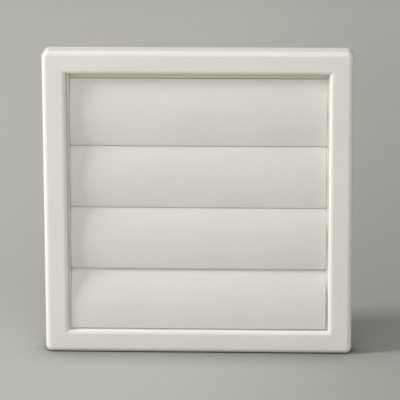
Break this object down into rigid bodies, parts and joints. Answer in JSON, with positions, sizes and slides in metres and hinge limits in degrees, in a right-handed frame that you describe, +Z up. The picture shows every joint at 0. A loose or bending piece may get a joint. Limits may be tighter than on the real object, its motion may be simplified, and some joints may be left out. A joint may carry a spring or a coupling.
{
  "type": "gravity-flap wall vent",
  "caption": "Square white wall vent with loose convex flaps that hang shut and a round rear spigot for a 100 mm duct.",
  "frame": {"origin": "centre of the duct on the wall's surface", "axes": "+Z up, +Y into the wall along the duct, so the front faces -Y and +X is to the right seen from the front"},
  "size_m": [0.14, 0.036, 0.14],
  "materials": {
    "white_abs": "satin moulded",
    "white_blade": "satin moulded",
    "white_nylon": "fine matt",
    "zinc_steel": "zinc plated"
  },
  "bodies": {
    "housing": {"front_bezel": "white_abs", "wall_plate": "white_abs", "duct_spigot": "white_abs", "left_bearing_strip": "white_abs", "right_bearing_strip": "white_abs", "spigot_screws": "zinc_steel", "strip_screws": "zinc_steel"},
    "flap_1": {"flap_1_blade": "white_blade", "flap_1_left_ear": "white_nylon", "flap_1_right_ear": "white_nylon"},
    "flap_2": {"flap_2_blade": "white_blade", "flap_2_left_ear": "white_nylon", "flap_2_right_ear": "white_nylon"},
    "flap_3": {"flap_3_blade": "white_blade", "flap_3_left_ear": "white_nylon", "flap_3_right_ear": "white_nylon"},
    "flap_4": {"flap_4_blade": "white_blade", "flap_4_left_ear": "white_nylon", "flap_4_right_ear": "white_nylon"}
  },
  "joints": [
    {"name": "flap_1_swing", "type": "hinge", "parent": "housing", "child": "flap_1", "pos_m": [0, -0.0064, 0.05305], "axis": [-1, 0, 0], "range_deg": [0, 75]},
    {"name": "flap_2_swing", "type": "hinge", "parent": "housing", "child": "flap_2", "pos_m": [0, -0.0064, 0.0245], "axis": [-1, 0, 0], "range_deg": [0, 75]},
    {"name": "flap_3_swing", "type": "hinge", "parent": "housing", "child": "flap_3", "pos_m": [0, -0.0064, -0.00405], "axis": [-1, 0, 0], "range_deg": [0, 75]},
    {"name": "flap_4_swing", "type": "hinge", "parent": "housing", "child": "flap_4", "pos_m": [0, -0.0064, -0.0326], "axis": [-1, 0, 0], "range_deg": [0, 75]}
  ]
}
